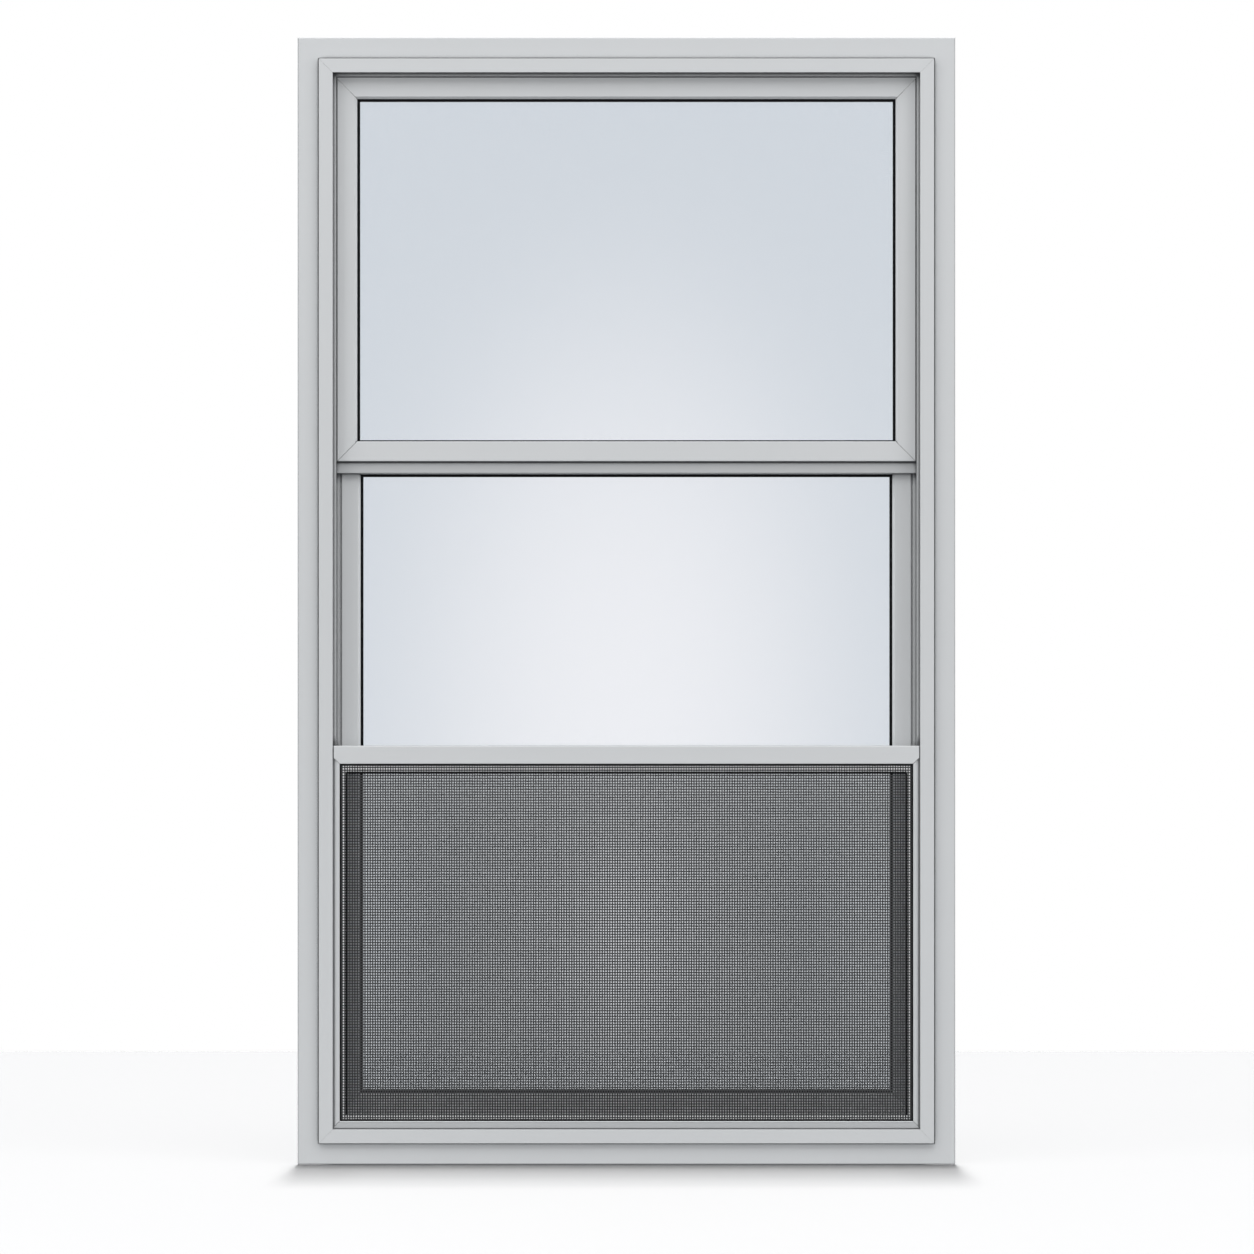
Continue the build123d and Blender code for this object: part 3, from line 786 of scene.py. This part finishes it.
def pile_strip(low, high, seed):
    """A backing on the outer side of a box, with tufts that reach the other side."""
    across = high[0] - low[0]
    tall = high[2] - low[2]
    deep = high[1] - low[1]
    deselect()
    bpy.ops.mesh.primitive_cube_add(
        size=1.0, location=((low[0] + high[0]) / 2, low[1] + BACKING / 2, (low[2] + high[2]) / 2)
    )
    backing = bpy.context.object
    backing.scale = (across, BACKING, tall)
    bpy.ops.object.transform_apply(location=True, rotation=True, scale=True)
    columns = int(across / TUFT_STEP)
    rows = int(tall / TUFT_STEP)
    first_x = (low[0] + high[0]) / 2 - (columns - 1) * TUFT_STEP / 2
    first_z = (low[2] + high[2]) / 2 - (rows - 1) * TUFT_STEP / 2
    length = deep - BACKING
    deselect()
    bpy.ops.mesh.primitive_cone_add(
        vertices=TUFT_SIDES,
        radius1=TUFT_FOOT,
        radius2=TUFT_TIP,
        depth=length,
        location=(first_x, low[1] + BACKING + length / 2, first_z),
        rotation=(-math.pi / 2, 0, 0),
    )
    tufts = bpy.context.object
    bpy.ops.object.transform_apply(location=True, rotation=True, scale=True)
    repeat(tufts, (TUFT_STEP, 0, 0), columns)
    repeat(tufts, (0, 0, TUFT_STEP), rows)
    place = points(tufts, columns * rows)
    lean = np.random.default_rng(seed).uniform(-TUFT_LEAN, TUFT_LEAN, (len(place), 2))
    tip = place[:, :, 1] > low[1] + BACKING + length / 2
    place[:, :, 0] += tip * lean[:, :1]
    place[:, :, 2] += tip * lean[:, 1:]
    set_points(tufts, place)
    return [backing, tufts]


def track_pile(node, name, seed):
    """The two strips of one track, left and right."""
    low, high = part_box(node)
    left = pile_strip(low, (low[0] + TRACK_PILE_WIDTH, high[1], high[2]), seed)
    right = pile_strip((high[0] - TRACK_PILE_WIDTH, low[1], low[2]), high, seed + 1)
    return join(left + right, name)


bar_low, bar_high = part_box("meeting_bar_pile")
piles = {
    "upper_track_pile": track_pile("upper_track_pile", "upper_pile", PILE_SEED),
    "lower_track_pile": track_pile("lower_track_pile", "lower_pile", PILE_SEED + 2),
    "meeting_bar_pile": join(pile_strip(bar_low, bar_high, PILE_SEED + 4), "bar_pile"),
}
for node, pile in piles.items():
    wear(pile, wool)
    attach(pile, "root")
    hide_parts(node)
    print(pile.name, "faces", len(pile.data.polygons))

# %% [markdown]
# ## Latch ribs
# A thumb slides the latch, so its tab has small ribs across the way it moves. One rib is a cube with
# bevelled edges, and an Array repeats it.

# %% Thumb ribs
RIB_STEP = 1.7 * MM
RIB_COUNT = 4
RIB_WIDTH = 0.8 * MM
RIB_TALL = 6.0 * MM
RIB_REACH = 0.5 * MM
RIB_ROUND = 0.35


def thumb_ribs(latch):
    """A row of rounded ribs on the tab of one latch."""
    low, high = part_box(latch)
    middle = ((low[0] + high[0]) / 2, high[1], (low[2] + high[2]) / 2)
    deselect()
    first = (middle[0] - RIB_STEP * (RIB_COUNT - 1) / 2, *middle[1:])
    bpy.ops.mesh.primitive_cube_add(size=1.0, location=first)
    ribs = bpy.context.object
    ribs.scale = (RIB_WIDTH, 2 * RIB_REACH, RIB_TALL)
    bpy.ops.object.transform_apply(location=True, rotation=True, scale=True)
    bpy.ops.object.mode_set(mode="EDIT")
    bpy.ops.mesh.select_all(action="SELECT")
    bpy.ops.mesh.bevel(offset=RIB_WIDTH * RIB_ROUND, segments=BEVEL_STEPS, affect="EDGES")
    bpy.ops.object.mode_set(mode="OBJECT")
    repeat(ribs, (RIB_STEP, 0, 0), RIB_COUNT)
    return ribs


ribs = join([thumb_ribs("left_latch"), thumb_ribs("right_latch")], "latch_ribs")
wear(ribs, latch_plastic)
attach(ribs, "root")
print("ribs", len(ribs.data.polygons), "faces")

# %% [markdown]
# ## Screws
# Two screws hold each latch on the sash, and one through each jamb holds the end of the meeting bar. A
# screw head is a short cylinder with a bevelled rim. Its cross is cut by a Boolean, because two crossing
# slots would be slow to draw by hand.

# %% Screws
PLATE_THICKNESS = 1.8 * MM
FRAME_WALL = 1.4 * MM
HEAD_RADIUS = 2.0 * MM
HEAD_HEIGHT = 1.1 * MM
HEAD_SINK = 0.1 * MM
CROSS_LENGTH = 2.3 * MM
CROSS_WIDTH = 0.55 * MM
CROSS_DEPTH = 0.7 * MM
SCREW_FROM_END = 6.0 * MM
HEAD_SIDES = 24
HEAD_ROUND = 0.55
HEAD_STEPS = 4
HEAD_SMOOTH = math.radians(35)


def screw_head():
    """A pan head that stands on the XZ plane and faces +Y, with a cross recess."""
    deselect()
    bpy.ops.mesh.primitive_cylinder_add(
        vertices=HEAD_SIDES,
        radius=HEAD_RADIUS,
        depth=HEAD_HEIGHT,
        location=(0, HEAD_HEIGHT / 2, 0),
        rotation=(-math.pi / 2, 0, 0),
    )
    head = bpy.context.object
    bpy.ops.object.transform_apply(location=True, rotation=True, scale=True)
    bpy.ops.object.mode_set(mode="EDIT")
    bpy.ops.mesh.select_all(action="DESELECT")
    bpy.ops.object.mode_set(mode="OBJECT")
    for edge in head.data.edges:
        ends = [head.data.vertices[point].co.y for point in edge.vertices]
        edge.select = min(ends) > HEAD_HEIGHT / 2
    bpy.ops.object.mode_set(mode="EDIT")
    bpy.ops.mesh.select_mode(type="EDGE")
    bpy.ops.mesh.bevel(offset=HEAD_HEIGHT * HEAD_ROUND, segments=HEAD_STEPS, affect="EDGES")
    bpy.ops.object.mode_set(mode="OBJECT")
    for size in ((CROSS_LENGTH, CROSS_WIDTH), (CROSS_WIDTH, CROSS_LENGTH)):
        deselect()
        bpy.ops.mesh.primitive_cube_add(size=1.0, location=(0, HEAD_HEIGHT, 0))
        cutter = bpy.context.object
        cutter.scale = (size[0], 2 * CROSS_DEPTH, size[1])
        bpy.ops.object.transform_apply(location=True, rotation=True, scale=True)
        slot = head.modifiers.new("cross", "BOOLEAN")
        slot.operation = "DIFFERENCE"
        slot.object = cutter
        bpy.context.view_layer.objects.active = head
        bpy.ops.object.modifier_apply(modifier=slot.name)
        bpy.data.objects.remove(cutter)
    return head


def set_screw(head, place, turn):
    """A copy of the head with its own mesh, turned about Z and put in its place."""
    copy = head.copy()
    copy.data = head.data.copy()
    bpy.context.collection.objects.link(copy)
    copy.location = place
    copy.rotation_euler = (0, 0, turn)
    return copy


head = screw_head()
screws = []
for latch in ("left_latch", "right_latch"):
    low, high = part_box(latch)
    plate_face = low[1] + PLATE_THICKNESS - HEAD_SINK
    for x in (low[0] + SCREW_FROM_END, high[0] - SCREW_FROM_END):
        screws.append(set_screw(head, (x, plate_face, (low[2] + high[2]) / 2), 0.0))
bar_low, bar_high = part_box("meeting_bar")
bar_middle = ((bar_low[1] + bar_high[1]) / 2, (bar_low[2] + bar_high[2]) / 2)
for x, side, turn in ((bar_low[0], -1, math.pi / 2), (bar_high[0], 1, -math.pi / 2)):
    web_face = x + side * (FRAME_WALL - HEAD_SINK)
    screws.append(set_screw(head, (web_face, *bar_middle), turn))
bpy.data.objects.remove(head)
screws = join(screws, "screws")
deselect()
screws.select_set(True)
bpy.ops.object.shade_smooth_by_angle(angle=HEAD_SMOOTH)
wear(screws, zinc)
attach(screws, "root")
print("screw faces", len(screws.data.polygons))

# %% [markdown]
# ## Corner sealant
# The frame's bars meet in a mitre. On the flange, which has to keep rain out, the joint is filled and
# painted over, so no line shows there. A filler is a thin strip in the seam: a box is added at its
# length, turned by 45 degrees, and its front face is inset and pushed in a little, as a finger leaves it.

# %% Seam fillers
FLANGE_WIDTH = 26.4 * MM
FLANGE_DEEP = 1.6 * MM
SEAM_FILL = 0.17 * MM
FILL_HOLLOW = 0.03 * MM
FILL_MARGIN = 0.2


def seam_filler(corner_x, corner_z, into_x, into_z):
    """One strip along the flange's mitre, from the outer corner inwards."""
    length = FLANGE_WIDTH * math.sqrt(2)
    place = (corner_x + into_x * FLANGE_WIDTH / 2, -FLANGE_DEEP / 2, corner_z + into_z * FLANGE_WIDTH / 2)
    deselect()
    bpy.ops.mesh.primitive_cube_add(size=1.0, location=place)
    strip = bpy.context.object
    strip.scale = (length, FLANGE_DEEP, SEAM_FILL)
    bpy.ops.object.transform_apply(location=False, rotation=False, scale=True)
    bpy.ops.object.mode_set(mode="EDIT")
    bpy.ops.mesh.select_all(action="DESELECT")
    bpy.ops.object.mode_set(mode="OBJECT")
    for face in strip.data.polygons:
        face.select = face.normal.y < -0.5
    bpy.ops.object.mode_set(mode="EDIT")
    bpy.ops.mesh.select_mode(type="FACE")
    bpy.ops.mesh.inset(thickness=SEAM_FILL * FILL_MARGIN)
    bpy.ops.transform.translate(value=(0, FILL_HOLLOW, 0))
    bpy.ops.object.mode_set(mode="OBJECT")
    strip.rotation_euler = (0, -math.atan2(into_z, into_x), 0)
    bpy.ops.object.transform_apply(location=True, rotation=True, scale=True)
    return strip


left, right = cad_low[0], cad_high[0]
bottom, top = cad_low[2], cad_high[2]
fillers = join(
    [
        seam_filler(left, bottom, 1, 1),
        seam_filler(right, bottom, -1, 1),
        seam_filler(left, top, 1, -1),
        seam_filler(right, top, -1, -1),
    ],
    "corner_sealant",
)
wear(fillers, paint_across)
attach(fillers, "root")
print("fillers", len(fillers.data.polygons), "faces")

# %% [markdown]
# ## Floor
# The picture is a product shot on a floor that looks white. So bright a floor would throw light up the
# window. A grey board under it, which only bounced light meets, takes its place there.

# %% Floor
FLOOR_WIDTH = 7.0
FLOOR_FRONT = -1.3
FLOOR_BACK = 1.6
FLOOR_COLOUR = (0.10, 0.10, 0.10)
BOARD_COLOUR = (0.30, 0.30, 0.30)
FLOOR_DROP = 0.3 * MM
BOARD_DROP = 2.0 * MM
HAZE_SIZE = 0.4
HAZE_SHADE = 0.99
FLOOR_ROUGH = 0.9


def pale_floor(name, colour):
    material, tree = new_finish(name)
    haze = speckle(tree, HAZE_SIZE)
    faint = blend_colours(tree, haze, colour, tuple(HAZE_SHADE * part for part in colour))
    show(tree, tree.node("ShaderNodeBsdfPrincipled", None, {"Base Color": faint, "Roughness": FLOOR_ROUGH}))
    return material


def floor_sheet(name, drop, colour):
    """A flat sheet under the window."""
    deselect()
    place = (0, (FLOOR_FRONT + FLOOR_BACK) / 2, cad_low[2] - drop)
    bpy.ops.mesh.primitive_plane_add(size=1.0, location=place)
    sheet = bpy.context.object
    sheet.name = name
    sheet.scale = (FLOOR_WIDTH, FLOOR_BACK - FLOOR_FRONT, 1.0)
    bpy.ops.object.transform_apply(location=True, rotation=True, scale=True)
    wear(sheet, pale_floor(name, colour))
    return sheet


floor = floor_sheet("floor", FLOOR_DROP, FLOOR_COLOUR)
floor.visible_diffuse = False
floor.visible_shadow = False
floor.visible_glossy = False
board = floor_sheet("bounce_board", BOARD_DROP, BOARD_COLOUR)
board.visible_camera = False
board.visible_glossy = False
board.visible_shadow = False
print("floor", FLOOR_WIDTH, "m wide")

# %% [markdown]
# ## Surroundings and lamps
# The surroundings are white to the eye. What the panes mirror is another matter: a cool room with a warm
# bright patch in front, which a Light Path node gives to mirrored rays alone. A wide soft lamp hangs
# overhead, with weaker ones in front and at the sides. Two lamps high above and a little behind the
# window throw the short soft shadow in front of it. They are far away, so the shadow keeps the window's
# width, and they are linked to the floor alone, or every ledge on the window would glare.

# %% Surroundings and lamps
WHITE = 1.0
BEHIND = 0.50
MIRRORED = 0.577
MIRRORED_COLOUR = (0.735, 0.85, 1.0, 1.0)
PATCH = 0.76
PATCH_COLOUR = (1.0, 0.845, 0.76, 1.0)
PATCH_WIDE = 0.053
PATCH_HIGH = 0.105
PATCH_DROP = 0.020
AIM = (0, 0, 0.7)
KEY_PLACE = (0, -3.0, 6.6)
KEY_SIZE = (14.0, 4.6)
KEY_POWER = 690
FRONT_PLACE = (0, -6.6, 2.0)
FRONT_SIZE = (8.0, 4.0)
FRONT_POWER = 122
SIDE_PLACE = (5.0, -2.5, 1.5)
SIDE_SIZE = (3.0, 4.0)
SIDE_POWER = 96
REAR_HEIGHT = 60.0
REAR_WIDTH = 1.6
REAR_SPANS = (("rear_long", 0.3, 11.1, 178000), ("rear_short", 0.0, 2.1, 60000))

world = bpy.data.worlds.new("surroundings")
bpy.context.scene.world = world
world.use_nodes = True
world.node_tree.nodes.clear()
sky = Wire(world.node_tree)
direction = sky.node("ShaderNodeTexCoord", out="Generated")
across, along, up = (
    sky.node("ShaderNodeSeparateXYZ", None, {"Vector": direction}, out=axis) for axis in "XYZ"
)
lifted = up + PATCH_DROP
spread = across * across * (1 / PATCH_WIDE ** 2) + lifted * lifted * (1 / PATCH_HIGH ** 2)
in_front = sky.math("LESS_THAN", along, 0.0)
inside = sky.math("MAXIMUM", 1 - spread, 0.0) * in_front
soft_light = BEHIND * (1 - in_front)
white = (1, 1, 1, 1)
lit = sky.node("ShaderNodeBackground", None, {"Color": white, "Strength": soft_light})
even = sky.node("ShaderNodeBackground", None, {"Color": MIRRORED_COLOUR, "Strength": MIRRORED})
patch = sky.node("ShaderNodeBackground", None, {"Color": PATCH_COLOUR, "Strength": PATCH * inside})
mirrored = sky.node("ShaderNodeAddShader", None, {0: even, 1: patch})
seen = sky.node("ShaderNodeBackground", None, {"Color": white, "Strength": WHITE})
gloss = sky.node("ShaderNodeLightPath", out="Is Glossy Ray")
eye = sky.node("ShaderNodeLightPath", out="Is Camera Ray")
unseen = sky.node("ShaderNodeMixShader", None, {"Fac": gloss, 1: lit, 2: mirrored})
mixed = sky.node("ShaderNodeMixShader", None, {"Fac": eye, 1: unseen, 2: seen})
sky.node("ShaderNodeOutputWorld", None, {"Surface": mixed})


def soft_lamp(name, place, aim, size, power):
    """A rectangular soft lamp that faces a point."""
    deselect()
    bpy.ops.object.light_add(type="AREA", location=place)
    lamp = bpy.context.object
    lamp.name = name
    lamp.data.shape = "RECTANGLE"
    lamp.data.size, lamp.data.size_y = size
    lamp.data.energy = power
    away = [a - b for a, b in zip(place, aim)]
    flat = math.hypot(away[0], away[1])
    lamp.rotation_euler = (math.atan2(flat, away[2]), 0, math.atan2(away[0], -away[1]))
    return lamp


soft_lamp("key", KEY_PLACE, AIM, KEY_SIZE, KEY_POWER)
front = soft_lamp("front", FRONT_PLACE, AIM, FRONT_SIZE, FRONT_POWER)
front.visible_glossy = False
for name, side in (("left", -1), ("right", 1)):
    soft_lamp(name, (side * SIDE_PLACE[0], *SIDE_PLACE[1:]), AIM, SIDE_SIZE, SIDE_POWER)
floor_only = bpy.data.collections.new("floor_only")
floor_only.objects.link(floor)
for name, near, far, power in REAR_SPANS:
    middle = (near + far) / 2
    rear = soft_lamp(name, (0, middle, REAR_HEIGHT), (0, middle, 0), (REAR_WIDTH, far - near), power)
    rear.light_linking.receiver_collection = floor_only
print("lamps ready")

# %% [markdown]
# ## Camera
# The camera stands square on. Its lens follows from two lengths: how far it is from the flange, and how
# much width the picture shows there.

# %% Camera
PICTURE_WIDTH = 1.5503
EYE_ASIDE = 0.7 * MM
EYE_ABOVE_BOTTOM = 0.6643
EYE_DISTANCE = 6.0
FLANGE_FRONT = -1.6 * MM
SENSOR = 36.0

deselect()
bpy.ops.object.camera_add(
    location=(EYE_ASIDE, FLANGE_FRONT - EYE_DISTANCE, cad_low[2] + EYE_ABOVE_BOTTOM),
    rotation=(math.pi / 2, 0, 0),
)
camera = bpy.context.object
camera.data.sensor_width = SENSOR
camera.data.lens = SENSOR * EYE_DISTANCE / PICTURE_WIDTH
bpy.context.scene.camera = camera
bpy.context.scene.view_settings.view_transform = "Standard"
print("lens", round(camera.data.lens, 1), "mm")
